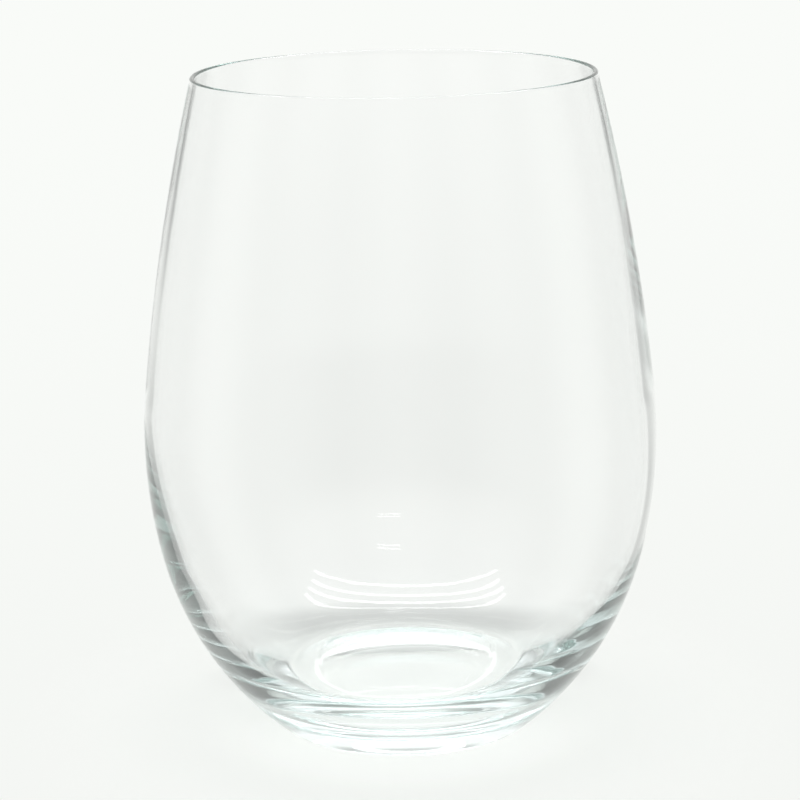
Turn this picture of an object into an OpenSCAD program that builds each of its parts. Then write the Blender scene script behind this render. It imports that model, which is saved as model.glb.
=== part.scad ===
// Stemless wine glass: one piece of clear glass, turned about the Z axis.
// Sizes in mm, +Z up, origin on the table under the middle of the foot.

/* [Bowl] */
// Overall height, table to rim
height = 122; // [110:0.5:134]
// Diameter across the belly, the widest place
belly_d = 95; // [90:0.5:100]
// Height of the belly above the table
belly_h = 54.5; // [50:0.5:58]
// Outer diameter of the wall at the rim
rim_d = 73.2; // [66:0.2:80]

/* [Outer curve] */
// Radius of the belly curve, as a share of the one arc that would reach from belly to rim
belly_bend_share = 0.438; // [0.38:0.002:0.5]
// How far up the belly curve goes, as a share of the height from belly to rim
upper_join_share = 0.153; // [0.13:0.001:0.17]
// How far down the belly curve goes, as a share of the height from belly to table
lower_join_share = 0.376; // [0.32:0.002:0.43]

/* [Foot] */
// Outer diameter of the foot at the top of its rounded edge
foot_d = 50.4; // [46:0.2:55]
// Height of the rounded edge of the foot
foot_edge_h = 0.8; // [0.5:0.1:1.2]
// Width of the flat ring that the glass stands on, round the hollow
foot_ring_w = 5; // [3:0.25:8]
// Height of the hollow under the foot at its middle
punt_rise = 1.4; // [0.8:0.1:2.2]

/* [Wall] */
// Wall thickness just under the rim
rim_wall = 1.1; // [0.9:0.05:1.5]
// How far the rounded, fire-polished rim stands proud of each side of the wall
rim_swell = 0.125; // [0.05:0.025:0.3]
// Wall thickness at the belly
belly_wall = 1.8; // [1.4:0.1:2.3]
// Wall thickness, measured level, where the bowl starts to round into the floor
bowl_wall = 3.85; // [3:0.05:5]
// Height of the inner floor above the table
floor_h = 7.5; // [6:0.1:9]

/* [Inner curve] */
// Radius of the inner belly curve, as a share of the radius of the outer one
inner_bend_share = 0.87; // [0.8:0.01:1]
// How far up the inner belly curve goes, as a share of the height from belly to rim
inner_upper_join_share = 0.112; // [0.09:0.001:0.14]
// How far down the inner belly curve goes, as a share of the height from belly to table
inner_lower_join_share = 0.339; // [0.3:0.003:0.39]
// Height above the inner floor where the bowl starts to round into it
floor_round_h = 10; // [8:0.25:12]
// Radius of the gently dished inner floor
floor_bend = 150; // [110:5:200]

/* [View] */
// Which sub-part to show

/* [Hidden] */
$fn = 360;
// Height by which the tighter of two curves stands proud where they meet
lap = belly_d / 30000;
// Height by which each curve runs on past its join, inside the flatter one
run_on = belly_d / 40;
belly_r = belly_d / 2;
rim_r = rim_d / 2;
foot_r = foot_d / 2;
bead_r = rim_wall / 2 + rim_swell;
bead_h = height - bead_r;
inner_belly_r = belly_r - belly_wall;
inner_rim_r = rim_r - rim_wall;
upper_h = bead_h - belly_h;

// Directions are angles above the level, seen from the middle of a curve.
function point_at(centre, r, angle) = centre + r * [cos(angle), sin(angle)];
function angle_at(centre, r, h) = asin((h - centre.y) / r);
function across_at(centre, r, h) = centre.x + r * cos(angle_at(centre, r, h));

// Radius of the curve that leaves a point square to a direction and ends at another point
function end_bend(from, angle, to) =
    -(to - from) * (to - from) / (2 * ([cos(angle), sin(angle)] * (to - from)));

// Outer curve, from the belly up to the rim and down to the foot
belly_bend = belly_bend_share * end_bend([belly_r, belly_h], 0, [rim_r, bead_h]);
belly_c = [belly_r - belly_bend - lap, belly_h];
upper_join_h = belly_h + upper_join_share * upper_h;
upper_a = angle_at(belly_c, belly_bend, upper_join_h);
upper_join = point_at(belly_c, belly_bend, upper_a);
upper_bend = end_bend(upper_join, upper_a, [rim_r, bead_h]);
upper_c = point_at(upper_join, -upper_bend, upper_a);
lower_join_h = belly_h - lower_join_share * belly_h;
lower_a = angle_at(belly_c, belly_bend, lower_join_h);
lower_join = point_at(belly_c, belly_bend, lower_a);
lower_bend = end_bend(lower_join, lower_a, [foot_r, foot_edge_h]);
lower_c = point_at(lower_join, -lower_bend, lower_a);

// Rounded edge of the foot, the ring it stands on and the hollow inside that ring
foot_a = angle_at(lower_c, lower_bend, foot_edge_h);
foot_edge_bend = foot_edge_h / (1 + sin(foot_a));
foot_ring_r = foot_r - foot_edge_bend * cos(foot_a);
punt_r = foot_ring_r - foot_ring_w;
punt_bend = (punt_r * punt_r + punt_rise * punt_rise) / (2 * punt_rise);

// Inner curve, from the belly up to the rim and down the bowl
inner_belly_bend = inner_bend_share * belly_bend;
inner_c = [inner_belly_r - inner_belly_bend, belly_h];
inner_upper_join_h = belly_h + inner_upper_join_share * upper_h;
inner_upper_a = angle_at(inner_c, inner_belly_bend, inner_upper_join_h);
inner_upper_join = point_at(inner_c, inner_belly_bend, inner_upper_a);
inner_upper_bend = end_bend(inner_upper_join, inner_upper_a, [inner_rim_r, bead_h]);
inner_upper_c = point_at(inner_upper_join, -inner_upper_bend, inner_upper_a);
inner_lower_join_h = belly_h - inner_lower_join_share * belly_h;
inner_lower_a = angle_at(inner_c, inner_belly_bend, inner_lower_join_h);
inner_lower_join = point_at(inner_c, inner_belly_bend, inner_lower_a);
round_join_h = floor_h + floor_round_h;
round_join = [across_at(lower_c, lower_bend, round_join_h) - bowl_wall, round_join_h];
bowl_bend = end_bend(inner_lower_join, inner_lower_a, round_join);
bowl_c = point_at(inner_lower_join, -bowl_bend, inner_lower_a);
round_a = angle_at(bowl_c, bowl_bend, round_join_h);

// The rounding that touches both the lower bowl and the floor curve
floor_c = [0, floor_h + floor_bend];
round_gap = round_join - floor_c;
round_bend = (floor_bend * floor_bend - round_gap * round_gap)
    / (2 * (floor_bend - [cos(round_a), sin(round_a)] * round_gap));
round_c = point_at(round_join, -round_bend, round_a);
floor_a = atan2(round_c.y - floor_c.y, round_c.x - floor_c.x);
floor_join = point_at(floor_c, floor_bend, floor_a);

// Part of a disc between two heights, on the right of the axis
module band(centre, r, low, high) {
    intersection() {
        translate(centre)
            circle(r);
        translate([0, low])
            square([belly_d, high - low]);
    }
}

// Solid outline of the outside
module outside() {
    band(upper_c, upper_bend, upper_join_h, bead_h);
    band(belly_c, belly_bend + lap, lower_join_h, upper_join_h + run_on);
    band(lower_c, lower_bend + 2 * lap, foot_edge_h, lower_join_h + run_on);
    band([foot_ring_r, foot_edge_bend], foot_edge_bend + 3 * lap, 0, foot_edge_h + run_on);
    square([foot_ring_r, foot_edge_h]);
}

// Hollow that holds the wine, open at the rim
module inside() {
    band(inner_upper_c, inner_upper_bend, inner_upper_join_h, height);
    band(inner_c, inner_belly_bend + lap, inner_lower_join_h, inner_upper_join_h + run_on);
    band(bowl_c, bowl_bend + 2 * lap, round_join_h, inner_lower_join_h + run_on);
    band(round_c, round_bend + 3 * lap, floor_h, round_join_h + run_on);
    translate([0, floor_join.y])
        square([round_c.x, belly_h - floor_join.y]);
    band(floor_c, floor_bend, floor_h - lap, floor_join.y);
}

module glass() {
    color([0.86, 0.92, 0.91, 0.4])
        rotate_extrude() {
            difference() {
                outside();
                inside();
                translate([0, punt_rise - punt_bend])
                    circle(punt_bend);
            }
            translate([rim_r - rim_wall / 2, bead_h])
                circle(bead_r);
        }
}

glass();
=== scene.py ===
import bpy
import math
from collections import namedtuple
from mathutils import Matrix, Vector


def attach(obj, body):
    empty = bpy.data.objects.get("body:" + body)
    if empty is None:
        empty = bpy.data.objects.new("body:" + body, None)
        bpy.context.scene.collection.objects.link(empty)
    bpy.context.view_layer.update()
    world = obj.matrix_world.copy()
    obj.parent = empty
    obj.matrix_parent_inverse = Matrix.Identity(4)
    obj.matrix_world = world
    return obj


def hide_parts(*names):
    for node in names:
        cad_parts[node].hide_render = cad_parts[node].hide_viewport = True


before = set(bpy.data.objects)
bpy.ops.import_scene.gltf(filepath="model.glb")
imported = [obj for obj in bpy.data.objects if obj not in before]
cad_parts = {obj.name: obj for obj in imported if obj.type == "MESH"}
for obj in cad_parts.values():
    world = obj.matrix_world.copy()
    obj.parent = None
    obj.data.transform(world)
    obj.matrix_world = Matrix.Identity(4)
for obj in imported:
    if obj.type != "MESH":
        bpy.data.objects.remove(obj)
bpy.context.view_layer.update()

# lengths below are in mm, directions in the studio in degrees, and Blender's own lengths in metres
MM = 0.001
TURN = 2 * math.pi
UP, DOWN = math.pi / 2, -math.pi / 2
WHITE = (1.0, 1.0, 1.0, 1.0)
BLACK = (0.0, 0.0, 0.0, 1.0)

# sizes of the CAD part, but for PUNT_RISE, RIM_WALL and RIM_SWELL, which are a little less here
HEIGHT = 122.0
BELLY_D, BELLY_H = 95.0, 54.5
RIM_D = 73.2
BELLY_BEND_SHARE, UPPER_JOIN_SHARE, LOWER_JOIN_SHARE = 0.438, 0.153, 0.376
FOOT_D, FOOT_EDGE_H, FOOT_RING_W, PUNT_RISE = 50.4, 0.8, 5.0, 1.2
RIM_WALL, RIM_SWELL, BELLY_WALL, BOWL_WALL, FLOOR_H = 0.85, 0.03, 1.8, 3.85, 7.5
INNER_BEND_SHARE, INNER_UPPER_SHARE, INNER_LOWER_SHARE = 0.87, 0.112, 0.339
FLOOR_ROUND_H, FLOOR_BEND = 10.0, 150.0
# the hollow's edge is rounded here, where the CAD part has a corner
HOLLOW_EDGE_BEND = 5.0

# raised ring that the mould left on the inner floor: radius, height and width
MARK_R, MARK_H, MARK_W = 17.4, 0.05, 1.7
# how far the inside sits off the axis, to the right, at each height, which makes the walls uneven
INSIDE_SHIFT = ((13.0, 0.0), (30.0, 0.45), (62.0, -0.35), (105.0, 0.0))
# flow streaks in the lower bowl: depth, spacing up the wall, heights where they start and where they end
STREAK_H, STREAK_GAP, STREAK_START, STREAK_END = 0.018, 3.4, (9.5, 12.0), (16.0, 24.0)
# a finer wave among them: share of the depth, spacing, and how much it wanders, the other way
FINE_SHARE, FINE_GAP, FINE_SWAY = 0.6, 2.1, -2.0
# how the streaks wander up and down round the axis: how far, waves in a turn, and phase
STREAK_SWAY = ((1.3, 1, 0.6), (0.8, 2, 2.1), (0.5, 5, 0.4))
# how the streaks come and go round the axis: share of the depth, two counts of waves, and a phase
PATCH_SHARE, PATCH_WAVES, FINE_PATCH_WAVES, PATCH_PHASE = 0.4, 3, 7, 1.2
# share of the depth that is left in front and behind, and half of what is lost on the left
FRONT_SHARE, LEFT_LOSS = 0.15, 0.38

# how finely the surface is cut: pieces round the axis, and spacing of the points along the outline
AROUND = 320
STEP, HOLLOW_EDGE_STEP, FOOT_EDGE_STEP, RIM_STEP = 0.75, 0.06, 0.3, 0.09
FLOOR_ROUND_STEP, FLOOR_STEP = 0.25, 0.1875
LEAST_PIECES, RING_PIECES = 3, 10
# an outline point nearer than this lies on the axis
ON_AXIS = 1e-6

# colour and depth of the glass's faint green
TINT, TINT_DENSITY = (0.882, 0.912, 0.905, 1.0), 36.0
GLASS_IOR = 1.5
# patches of roughness: heights where they end, grains in a metre, detail, grain levels, roughness
STIPPLE = ((0.01, 0.08), 1400.0, 2.0, (0.35, 0.65), (0.05, 0.28))
WEAR = ((0.1, 1.2), 420.0, 6.0, (0.55, 0.75), (0.0, 0.07))
# faint unevenness of the polish: spacing, detail, its height low down and high up, and where it grows
POLISH_GAP, POLISH_DETAIL, POLISH_H, POLISH_RISE = 8.0, 1.0, (0.002, 0.010), (66.0, 90.0)

# the paper under the glass, a disc of many sides: how far it lies below the foot, and its radius
PAPER = (0.947, 0.965, 0.939, 1.0)
FLOOR_DROP, FLOOR_R, FLOOR_SIDES = 0.05, 3000.0, 96
# radii between which the paper dissolves
FLOOR_FADE = (44.0, 80.0)
# painted light on the paper, an emission where light would gather: strength and radii where it ends, under
# the foot and round it
GLOW_UNDER, GLOW_UNDER_END = 0.15, (14.0, 26.0)
GLOW_ROUND, GLOW_ROUND_END = 0.12, (24.0, 44.0)
# what is left of the second behind the glass, and where it falls off, from -1 in front to 1 behind
GLOW_BACK_SHARE, GLOW_FRONT = 0.25, (-0.8, 0.2)
# painted caustic, a bright ring of emission on the paper below the mark on the inner floor: strength, radius,
# and how far off it fades
CAUSTIC, CAUSTIC_R, CAUSTIC_FADE = 0.3, 18.4, (0.2, 0.8)
# painted soft shadow on the paper behind the foot: strength, radii where it starts and ends, and where it
# sets in, likewise
SHADE, SHADE_START, SHADE_END, SHADE_BACK = 0.32, (22.0, 29.0), (31.0, 47.0), (0.2, 0.8)

# Each pair of angles in the room says where a change starts and where it is full. TOP, BOTTOM, RISE,
# FROM and TO are counted up from the horizon, SCREEN from the gap between two screens, and the others
# to either side from straight behind the glass. DEPTH is the share of light that a screen takes.

# the edge of the white backdrop
BACKDROP = (38.0, 52.0)
# screens beside the backdrop, which the wall's edge mirrors, low down, higher up, and their outer side
EDGE_LOW, EDGE_LOW_TOP, EDGE_LOW_DEPTH = (8.0, 27.0), (-14.0, -10.0), (0.34, 0.12)
EDGE_HIGH, EDGE_HIGH_TOP, EDGE_HIGH_DEPTH = (22.0, 28.0), (-9.5, -5.0), (0.12, 0.85)
EDGE_END = (31.0, 35.0)
# screens that stand all round, how many degrees apart, and where they pale towards the viewer
SCREEN_EVERY, ROUND_SCREEN, ROUND_FRONT, ROUND_DEPTH = 45.0, (2.0, 22.5), (105.0, 145.0), (0.42, 0.32)
# top of every screen
SCREEN_TOP = (12.0, 24.0)
# brighter field high behind the glass and the dark over it, which the foot's edge mirrors
GLEAM_FROM, GLEAM_TO, GLEAM, ABOVE_GLEAM = (8.0, 15.0), (24.0, 29.0), 0.3, -0.5
# the dim room on the viewer's side, as the far wall mirrors it, and where the light above it starts
ROOM_LIGHT, ROOM_SIDE, ROOM_BOTTOM, ROOM_TOP = 0.05, (70.0, 150.0), (-40.0, -16.0), (8.0, 28.0)
# light of the white surroundings low down, where they stand for the paper further out
TABLE_LIGHT, TABLE_RISE = 0.962, (-24.0, -6.0)
# light that has been led round inside the base: its level, more from the backdrop, less from screens
GUIDED_LOW, GUIDED_BACKDROP, GUIDED_TOP = 0.27, 0.6, (15.0, 42.0)
GUIDED_SCREEN, GUIDED_DEPTH = (6.0, 18.0), 0.44
# soft light overhead, as light led round shows it: where it starts and is full, and its brightness
LAMP_SIDE_RISE, LAMP_SIDE = (22.0, 42.0), 1.38
LAMP_OVER_RISE, LAMP_OVER = (66.0, 76.0), 2.3
LAMP_COLOUR = (0.965, 0.970, 0.995, 1.0)

# curved strip lights overhead: half length, place of the middle, and how far the ends lie nearer
STRIPS = ((560.0, -18.0, 106.0), (483.0, 146.0, 140.0), (443.0, 249.0, 138.0), (398.0, 383.0, 182.0))
STRIP_H, STRIP_W, STRIP_LIGHT = 600.0, 30.0, 8.0
# pieces either side of a strip's middle, and how its ends curve off
STRIP_PIECES, STRIP_CURVE = 12, 1.6
# short straight strips behind the camera: where they start and end, and how far back they hang
SHORT_STRIPS = ((30.0, 257.0, -904.0), (30.0, 250.0, -862.0))
SHORT_STRIP_W = 14.0

# the camera, fitted to the photograph; its two angles are in radians
CAMERA_AT, CAMERA_PITCH, CAMERA_ROLL = (0.0, -438.144, 173.941), 0.252088, 0.0189
CAMERA_FOCUS_PX, CAMERA_CENTRE_PX, PICTURE_PX = 2435.02, 399.95, 800.0
CAMERA_SENSOR, CAMERA_NEAR = 36.0, 10.0

# how often light may turn in all and in the glass, off the paper, and pass the paper's gaps
GLASS_BOUNCES, PAPER_BOUNCES, GAP_BOUNCES = 128, 24, 32


# arcs

Arc = namedtuple("Arc", "centre bend start end")


def point_at(centre, radius, angle):
    return (centre[0] + radius * math.cos(angle), centre[1] + radius * math.sin(angle))


def angle_of(centre, point):
    return math.atan2(point[1] - centre[1], point[0] - centre[0])


def angle_for_height(centre, radius, h):
    return math.asin((h - centre[1]) / radius)


def end_bend(start, angle, end):
    """Radius of the arc that leaves start square to a direction and ends at another point."""
    dx, dy = end[0] - start[0], end[1] - start[1]
    return -(dx * dx + dy * dy) / (2 * (math.cos(angle) * dx + math.sin(angle) * dy))


def points_of(arc, step=STEP):
    """Points of an arc, first one left out, spaced about step apart."""
    turn = arc.end - arc.start
    count = max(LEAST_PIECES, math.ceil(abs(turn) * arc.bend / step))
    return [point_at(arc.centre, arc.bend, arc.start + turn * i / count) for i in range(1, count + 1)]


# outline of the glass

def side_arcs(side_r, bend, upper_share, lower_share, bottom, top):
    """Arcs from the bottom to the belly, round the belly and on to the top, each smooth with the next."""
    belly_c = (side_r - bend, BELLY_H)
    lower_a = angle_for_height(belly_c, bend, BELLY_H - lower_share * BELLY_H)
    upper_a = angle_for_height(belly_c, bend, BELLY_H + upper_share * (top[1] - BELLY_H))
    lower_join, upper_join = point_at(belly_c, bend, lower_a), point_at(belly_c, bend, upper_a)
    lower_bend, upper_bend = end_bend(lower_join, lower_a, bottom), end_bend(upper_join, upper_a, top)
    lower_c = point_at(lower_join, -lower_bend, lower_a)
    upper_c = point_at(upper_join, -upper_bend, upper_a)
    return [Arc(lower_c, lower_bend, angle_of(lower_c, bottom), lower_a),
            Arc(belly_c, bend, lower_a, upper_a),
            Arc(upper_c, upper_bend, upper_a, angle_of(upper_c, top))]


def foot_points(foot_a):
    """The hollow, its rounded edge, the flat ring and the ring's outer edge."""
    edge_bend = FOOT_EDGE_H / (1 + math.sin(foot_a))
    ring_r = FOOT_D / 2 - edge_bend * math.cos(foot_a)
    punt_r = ring_r - FOOT_RING_W
    punt_bend = (punt_r ** 2 + PUNT_RISE ** 2) / (2 * PUNT_RISE)
    punt_c = (0.0, PUNT_RISE - punt_bend)
    punt_a = angle_of(punt_c, (punt_r, 0.0))
    slope = UP - punt_a
    fillet = HOLLOW_EDGE_BEND * math.tan(slope / 2)
    flat_r = punt_r + fillet
    hollow = Arc(punt_c, punt_bend, UP, punt_a + fillet / punt_bend)
    hollow_edge = Arc((flat_r, HOLLOW_EDGE_BEND), HOLLOW_EDGE_BEND, DOWN - slope, DOWN)
    ring = [(flat_r + (ring_r - flat_r) * i / RING_PIECES, 0.0) for i in range(1, RING_PIECES + 1)]
    foot_edge = Arc((ring_r, edge_bend), edge_bend, DOWN, foot_a)
    return ([(0.0, PUNT_RISE)] + points_of(hollow) + points_of(hollow_edge, HOLLOW_EDGE_STEP)
            + ring + points_of(foot_edge, FOOT_EDGE_STEP))


def floor_points(round_join, round_a):
    """The round that the bowl runs into, and the dished floor with the mark on it."""
    floor_c = (0.0, FLOOR_H + FLOOR_BEND)
    dx, dy = round_join[0] - floor_c[0], round_join[1] - floor_c[1]
    round_bend = (FLOOR_BEND ** 2 - dx * dx - dy * dy) / (
        2 * (FLOOR_BEND - math.cos(round_a) * dx - math.sin(round_a) * dy))
    round_c = point_at(round_join, -round_bend, round_a)
    floor_a = angle_of(floor_c, round_c)
    floor = points_of(Arc(floor_c, FLOOR_BEND, floor_a, DOWN), FLOOR_STEP)
    return (points_of(Arc(round_c, round_bend, round_a, floor_a), FLOOR_ROUND_STEP)
            + [(r, h + mark_rise(r)) for r, h in floor[:-1]] + [(0.0, FLOOR_H)])


def outline():
    """Half sections: from the axis up the outside and over the rim, and down the inside to the axis."""
    belly_r, rim_r = BELLY_D / 2, RIM_D / 2
    bead_r = RIM_WALL / 2 + RIM_SWELL
    bead_h = HEIGHT - bead_r
    bend = BELLY_BEND_SHARE * end_bend((belly_r, BELLY_H), 0.0, (rim_r, bead_h))
    outer = side_arcs(belly_r, bend, UPPER_JOIN_SHARE, LOWER_JOIN_SHARE,
                      (FOOT_D / 2, FOOT_EDGE_H), (rim_r, bead_h))
    outside = foot_points(outer[0].start)
    for arc in outer:
        outside += points_of(arc)
    # the bead over the rim leaves the wall at half the wall's own angle there
    bead = Arc((rim_r - RIM_WALL / 2, bead_h), bead_r, outer[-1].end / 2, math.pi)
    outside += points_of(bead, RIM_STEP)

    round_h = FLOOR_H + FLOOR_ROUND_H
    outer_c, outer_bend = outer[0].centre, outer[0].bend
    outer_r = outer_c[0] + math.sqrt(outer_bend ** 2 - (round_h - outer_c[1]) ** 2)
    round_join = (outer_r - BOWL_WALL, round_h)
    inner = side_arcs(belly_r - BELLY_WALL, INNER_BEND_SHARE * bend, INNER_UPPER_SHARE, INNER_LOWER_SHARE,
                      round_join, (rim_r - RIM_WALL, bead_h))
    inside = []
    for arc in reversed(inner):
        inside += points_of(Arc(arc.centre, arc.bend, arc.end, arc.start))
    return outside, inside + floor_points(round_join, inner[0].start)


# how the inside departs from a true turning

def smooth(value, low, high):
    """0 up to low and 1 from high on, with a smooth rise between."""
    t = min(1.0, max(0.0, (value - low) / (high - low)))
    return t * t * (3 - 2 * t)


def mark_rise(r):
    """Height of the mould's ring mark at a distance from the axis."""
    t = (r - MARK_R) / MARK_W
    return MARK_H * math.cos(math.pi * t) ** 2 if abs(t) < 0.5 else 0.0


def inside_shift(h):
    """How far the inside sits off the axis at a height."""
    shift = INSIDE_SHIFT[0][1]
    for (low, before), (high, after) in zip(INSIDE_SHIFT, INSIDE_SHIFT[1:]):
        shift += (after - before) * smooth(h, low, high)
    return shift


def streak(h, a):
    """Depth of the flow streaks at a height and an angle round the axis, which is 0 on the right."""
    sway = sum(far * math.sin(waves * a + phase) for far, waves, phase in STREAK_SWAY)
    wave = math.sin(TURN * (h + sway) / STREAK_GAP)
    wave += FINE_SHARE * math.sin(TURN * (h + FINE_SWAY * sway) / FINE_GAP)
    sides = FRONT_SHARE + (1 - FRONT_SHARE) * math.cos(a) ** 2
    patches = math.sin(PATCH_WAVES * a + PATCH_PHASE) * math.sin(FINE_PATCH_WAVES * a)
    patchy = 1 - PATCH_SHARE + PATCH_SHARE * patches
    right = 1 - LEFT_LOSS + LEFT_LOSS * math.cos(a)
    zone = smooth(h, *STREAK_START) * (1 - smooth(h, *STREAK_END))
    return STREAK_H * sides * patchy * right * wave * zone


# mesh of the glass

def ring_at(r, h, inner):
    """Points round the axis, or the one point where the outline meets the axis."""
    if r < ON_AXIS:
        return [(0.0, 0.0, h * MM)]
    shift = inside_shift(h) if inner else 0.0
    ring = []
    for i in range(AROUND):
        a = TURN * i / AROUND
        reach = r + streak(h, a) if inner else r
        ring.append(((reach * math.cos(a) + shift) * MM, reach * math.sin(a) * MM, h * MM))
    return ring


def faces_between(low, high):
    """Faces between two rings, one of which may be a single point."""
    faces = []
    for i in range(AROUND):
        j = (i + 1) % AROUND
        if len(low) == 1:
            faces.append((low[0], high[j], high[i]))
        elif len(high) == 1:
            faces.append((low[i], low[j], high[0]))
        else:
            faces.append((low[i], low[j], high[j], high[i]))
    return faces


def glass_mesh():
    """Closed turned surface, smooth but for what the inside adds to it."""
    outside, inside = outline()
    verts, rings = [], []
    for number, (r, h) in enumerate(outside + inside):
        ring = ring_at(r, h, number >= len(outside))
        rings.append(range(len(verts), len(verts) + len(ring)))
        verts += ring
    faces = [face for low, high in zip(rings, rings[1:]) for face in faces_between(low, high)]
    mesh = bpy.data.meshes.new("wine_glass")
    mesh.from_pydata(verts, [], faces)
    mesh.update()
    mesh.shade_smooth()
    return mesh


# shader nodes

class Graph:
    """Short ways to add the nodes of a material or a world."""

    def __init__(self, owner):
        owner.use_nodes = True
        self.nodes, self.links = owner.node_tree.nodes, owner.node_tree.links
        self.nodes.clear()

    def fill(self, node, values):
        """Set or link inputs of a node, by name or by number."""
        for name, value in values.items():
            if isinstance(value, (int, float, tuple)):
                node.inputs[name].default_value = value
            else:
                self.links.new(value, node.inputs[name])

    def add(self, kind, **values):
        """A new node; a space in the name of an input is written as an underscore."""
        node = self.nodes.new("ShaderNode" + kind)
        self.fill(node, {name.replace("_", " "): value for name, value in values.items()})
        return node

    def calc(self, operation, *values):
        node = self.nodes.new("ShaderNodeMath")
        node.operation = operation
        self.fill(node, dict(enumerate(values)))
        return node.outputs[0]

    def times(self, total, *values):
        for value in values:
            total = self.calc("MULTIPLY", total, value)
        return total

    def plus(self, total, *values):
        for value in values:
            total = self.calc("ADD", total, value)
        return total

    def rest(self, value):
        """What a share leaves of 1."""
        return self.calc("SUBTRACT", 1.0, value)

    def reached(self, count, number):
        """1 where a whole count is at least a number, and 0 where it is less."""
        return self.calc("LESS_THAN", number - 0.5, count)

    def step(self, value, ends, low=0.0, high=1.0):
        """A smooth change from low to high while a value passes between two ends."""
        node = self.add("MapRange", Value=value, From_Min=ends[0], From_Max=ends[1], To_Min=low, To_Max=high)
        node.interpolation_type = "SMOOTHSTEP"
        return node.outputs["Result"]

    def blend(self, factor, first, second):
        """Mix of two colours; a Mix node has its colours in sockets 6 and 7, and the mix in 2."""
        node = self.nodes.new("ShaderNodeMix")
        node.data_type = "RGBA"
        self.fill(node, {0: factor, 6: first, 7: second})
        return node.outputs[2]


# materials

def glass_material():
    """Clear glass, with a stippled ring to stand on, wear above it and a not quite even polish."""
    mat = bpy.data.materials.new("clear_glass")
    graph = Graph(mat)
    place = graph.add("TexCoord").outputs["Object"]
    height = graph.add("SeparateXYZ", Vector=place).outputs["Z"]

    def noise(scale, detail):
        return graph.add("TexNoise", Vector=place, Scale=scale, Detail=detail).outputs["Fac"]

    def up(ends, low, high):
        return graph.step(height, [h * MM for h in ends], low, high)

    def patch(top, scale, detail, levels, roughness):
        return graph.times(up(top, 1.0, 0.0), graph.step(noise(scale, detail), levels, *roughness))

    rough = graph.calc("MAXIMUM", patch(*STIPPLE), patch(*WEAR))
    waves = graph.times(noise(1 / (POLISH_GAP * MM), POLISH_DETAIL), up(POLISH_RISE, *POLISH_H))
    bump = graph.add("Bump", Strength=1.0, Distance=MM, Height=waves)
    body = graph.add("BsdfPrincipled", Base_Color=WHITE, Transmission_Weight=1.0, IOR=GLASS_IOR,
                     Roughness=rough, Normal=bump.outputs["Normal"])
    volume = graph.add("VolumeAbsorption", Color=TINT, Density=TINT_DENSITY)
    graph.add("OutputMaterial", Surface=body.outputs["BSDF"], Volume=volume.outputs["Volume"])
    return mat


def painted_paper_glow(graph, reach, back):
    """Painted light on the paper, an emission under the foot, round it, and in the ring below the mark."""
    under = graph.step(reach, GLOW_UNDER_END, GLOW_UNDER, 0.0)
    front = graph.times(graph.step(back, GLOW_FRONT, 1.0, GLOW_BACK_SHARE),
                        graph.step(reach, GLOW_UNDER_END), graph.step(reach, GLOW_ROUND_END, GLOW_ROUND, 0.0))
    # painted caustic: a ring of emission on the paper below the mark
    off_ring = graph.calc("ABSOLUTE", graph.calc("SUBTRACT", reach, CAUSTIC_R))
    return graph.plus(under, front, graph.step(off_ring, CAUSTIC_FADE, CAUSTIC, 0.0))


def floor_material():
    """Pale matt paper that dissolves into the white surroundings away from the glass, with a painted shadow
    behind the foot and painted light round it.
    """
    mat = bpy.data.materials.new("paper_floor")
    graph = Graph(mat)
    place = graph.add("TexCoord").outputs["Object"]
    length = graph.add("VectorMath", Vector=place)
    length.operation = "LENGTH"
    metres = length.outputs["Value"]
    reach = graph.times(metres, 1 / MM)
    # from -1 in front of the glass to 1 behind it; the millimetre keeps it from dividing by nothing
    back = graph.calc("DIVIDE", graph.add("SeparateXYZ", Vector=place).outputs["Y"], graph.plus(metres, MM))
    # painted shadow: the paper's colour is darkened behind the foot
    shade = graph.times(graph.step(back, SHADE_BACK, 0.0, SHADE),
                        graph.step(reach, SHADE_START), graph.step(reach, SHADE_END, 1.0, 0.0))
    paper = graph.add("BsdfDiffuse", Color=graph.blend(shade, PAPER, BLACK))
    # painted light: the paper emits under and round the foot, and in a ring, as if light gathered there
    glow = graph.add("Emission", Strength=painted_paper_glow(graph, reach, back))
    lit = graph.nodes.new("ShaderNodeAddShader")
    graph.fill(lit, {0: paper.outputs[0], 1: glow.outputs[0]})
    # grain by grain, so that the paper's share falls off without a line
    grain = graph.add("TexWhiteNoise", Vector=place)
    gone = graph.calc("LESS_THAN", grain.outputs["Value"], graph.step(reach, FLOOR_FADE))
    mix = graph.nodes.new("ShaderNodeMixShader")
    graph.fill(mix, {0: gone, 1: lit.outputs[0], 2: graph.add("BsdfTransparent").outputs[0]})
    graph.add("OutputMaterial", Surface=mix.outputs[0])
    return mat


def strip_material():
    """White light that leaves the floor as it is."""
    mat = bpy.data.materials.new("strip_light")
    mat.cycles.emission_sampling = "NONE"
    graph = Graph(mat)
    off_floor = graph.rest(graph.reached(graph.add("LightPath").outputs["Diffuse Depth"], 1))
    light = graph.add("Emission", Strength=graph.times(off_floor, STRIP_LIGHT))
    graph.add("OutputMaterial", Surface=light.outputs[0])
    return mat


# the room round the glass

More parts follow.
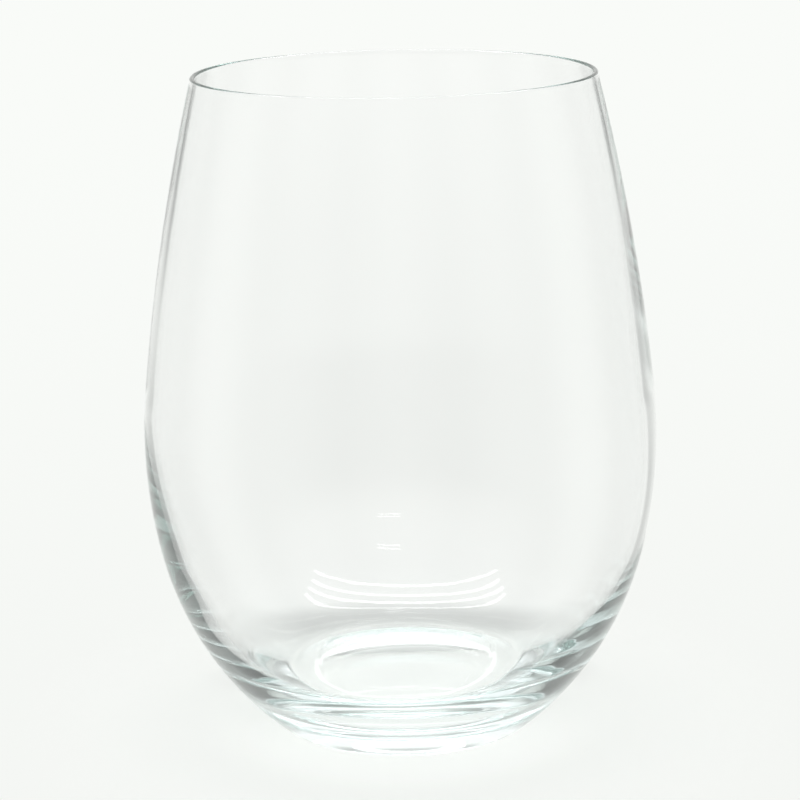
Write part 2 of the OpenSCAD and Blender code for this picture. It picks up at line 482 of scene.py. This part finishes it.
class Room(Graph):
    """Nodes of the world, with the direction in which a ray leaves for it."""

    def __init__(self, world):
        super().__init__(world)
        way = self.add("TexCoord").outputs["Generated"]
        x, y, self.up = self.add("SeparateXYZ", Vector=way).outputs
        self.turn = self.times(self.calc("ARCTAN2", x, y), 180 / math.pi)
        self.aside = self.calc("ABSOLUTE", self.turn)
        self.backdrop = self.rest(self.step(self.aside, BACKDROP))
        self.screen_top = self.rise(SCREEN_TOP, 1.0, 0.0)

    def rise(self, ends, low=0.0, high=1.0):
        """A change between two heights above the horizon."""
        return self.step(self.up, [math.sin(math.radians(a)) for a in ends], low, high)

    def screens(self, ends):
        """Screens all round, each darkest half way between two gaps."""
        return self.step(self.calc("PINGPONG", self.turn, SCREEN_EVERY / 2), ends)

    def at_edge(self):
        """What the edge of the wall mirrors, more or less than white: the gleam less the screens."""
        low = self.times(self.step(self.aside, EDGE_LOW), self.rise(EDGE_LOW_TOP, *EDGE_LOW_DEPTH))
        high = self.times(self.step(self.aside, EDGE_HIGH), self.rise(EDGE_HIGH_TOP, *EDGE_HIGH_DEPTH))
        beside = self.times(self.rest(self.step(self.aside, EDGE_END)), self.plus(low, high))
        around = self.times(self.screens(ROUND_SCREEN), self.step(self.aside, ROUND_FRONT, *ROUND_DEPTH),
                            self.rest(self.backdrop))
        gleam = self.times(self.backdrop, self.rise(GLEAM_FROM), self.rise(GLEAM_TO, GLEAM, ABOVE_GLEAM))
        return self.calc("SUBTRACT", gleam, self.times(self.screen_top, self.plus(beside, around)))

    def dimness(self):
        """How much darker than white the room is that the far wall mirrors."""
        return self.times(self.step(self.aside, ROOM_SIDE), self.rise(ROOM_BOTTOM),
                          self.rise(ROOM_TOP, 1 - ROOM_LIGHT, 0.0))

    def led_round(self):
        """Light of rays that the glass has mirrored more than once."""
        low = self.plus(GUIDED_LOW, self.times(self.backdrop, GUIDED_BACKDROP))
        level = self.plus(low, self.times(self.rest(low), self.rise(GUIDED_TOP)))
        screened = self.times(self.screens(GUIDED_SCREEN), self.screen_top, GUIDED_DEPTH)
        return self.plus(self.times(level, self.rest(screened)),
                         self.rise(LAMP_SIDE_RISE, 0.0, LAMP_SIDE - 1),
                         self.rise(LAMP_OVER_RISE, 0.0, LAMP_OVER - LAMP_SIDE))


def make_world():
    """Even white light; rays that the glass has mirrored see grey screens, a dim room and a lamp."""
    world = bpy.data.worlds.new("studio")
    bpy.context.scene.world = world
    world.cycles.sampling_method = "NONE"
    room = Room(world)
    rays = room.add("LightPath").outputs
    camera, mirrorings, passes = rays["Is Camera Ray"], rays["Glossy Depth"], rays["Transmission Depth"]
    lit_floor = room.reached(rays["Diffuse Depth"], 1)
    mirrored, guided = room.reached(mirrorings, 1), room.reached(mirrorings, 2)
    passed, far_wall = room.reached(passes, 1), room.reached(passes, 3)
    once = room.calc("SUBTRACT", mirrored, guided)
    at_edge = room.calc("SUBTRACT", passed, far_wall)

    table = room.rise(TABLE_RISE, TABLE_LIGHT, 1.0)
    edge = room.plus(1.0, room.times(at_edge, room.at_edge()))
    far = room.rest(room.times(far_wall, room.dimness()))
    by_glass = room.plus(room.times(room.rest(mirrored), table), room.times(once, far, edge),
                         room.times(guided, room.led_round()))
    # the floor is lit evenly, and the camera sees plain surroundings
    plain = room.calc("MAXIMUM", room.times(camera, table), lit_floor)
    strength = room.calc("MAXIMUM", plain, room.times(room.rest(camera), room.rest(lit_floor), by_glass))
    tone = room.blend(room.rise(LAMP_SIDE_RISE), PAPER, LAMP_COLOUR)
    light = room.add("Background", Color=room.blend(lit_floor, tone, WHITE), Strength=strength)
    room.add("OutputWorld", Surface=light.outputs[0])


# objects

def link(name, mesh, mat):
    """A new object of a mesh and a material, in the scene."""
    mesh.materials.append(mat)
    piece = bpy.data.objects.new(name, mesh)
    bpy.context.scene.collection.objects.link(piece)
    return piece


def make_glass():
    glass = link("wine_glass", glass_mesh(), glass_material())
    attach(glass, "root")
    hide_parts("glass")


def make_floor():
    mesh = bpy.data.meshes.new("paper_floor")
    corners = [TURN * i / FLOOR_SIDES for i in range(FLOOR_SIDES)]
    verts = [(FLOOR_R * MM * math.cos(a), FLOOR_R * MM * math.sin(a), -FLOOR_DROP * MM) for a in corners]
    mesh.from_pydata(verts, [], [tuple(range(FLOOR_SIDES))])
    link("paper_floor", mesh, floor_material())


def make_strip(name, places, width, mat):
    """A level ribbon of light through places, seen only in and through the glass."""
    verts = [(x * MM, (y + side) * MM, STRIP_H * MM) for x, y in places for side in (-width / 2, width / 2)]
    faces = [(i, i + 1, i + 3, i + 2) for i in range(0, len(verts) - 2, 2)]
    mesh = bpy.data.meshes.new(name)
    mesh.from_pydata(verts, [], faces)
    strip = link(name, mesh, mat)
    strip.visible_camera = False
    strip.visible_diffuse = False
    strip.visible_shadow = False


def make_strips():
    mat = strip_material()
    shares = [i / STRIP_PIECES for i in range(-STRIP_PIECES, STRIP_PIECES + 1)]
    for k, (half, middle, nearer) in enumerate(STRIPS):
        places = [(half * t, middle - nearer * abs(t) ** STRIP_CURVE) for t in shares]
        make_strip("strip_%d" % k, places, STRIP_W, mat)
    for k, (start, end, y) in enumerate(SHORT_STRIPS):
        make_strip("short_strip_%d" % k, [(start, y), (end, y)], SHORT_STRIP_W, mat)


def make_camera():
    data = bpy.data.cameras.new("camera")
    data.sensor_width = CAMERA_SENSOR
    data.lens = CAMERA_FOCUS_PX / PICTURE_PX * CAMERA_SENSOR
    data.shift_x = -(CAMERA_CENTRE_PX - PICTURE_PX / 2) / PICTURE_PX
    data.clip_start = CAMERA_NEAR * MM
    camera = bpy.data.objects.new("camera", data)
    bpy.context.scene.collection.objects.link(camera)
    camera.matrix_world = (Matrix.Translation(Vector(CAMERA_AT) * MM)
                           @ Matrix.Rotation(math.pi / 2 - CAMERA_PITCH, 4, "X")
                           @ Matrix.Rotation(-CAMERA_ROLL, 4, "Z"))
    bpy.context.scene.camera = camera


def set_light_paths(cycles):
    """Light may turn often enough to leave the thick base, and its highlights stay sharp."""
    cycles.max_bounces = GLASS_BOUNCES
    cycles.transmission_bounces = GLASS_BOUNCES
    cycles.glossy_bounces = GLASS_BOUNCES
    cycles.diffuse_bounces = PAPER_BOUNCES
    cycles.transparent_max_bounces = GAP_BOUNCES
    cycles.blur_glossy = 0.0


make_camera()
make_glass()
make_floor()
make_world()
make_strips()
set_light_paths(bpy.context.scene.cycles)
bpy.context.scene.view_settings.view_transform = "Standard"
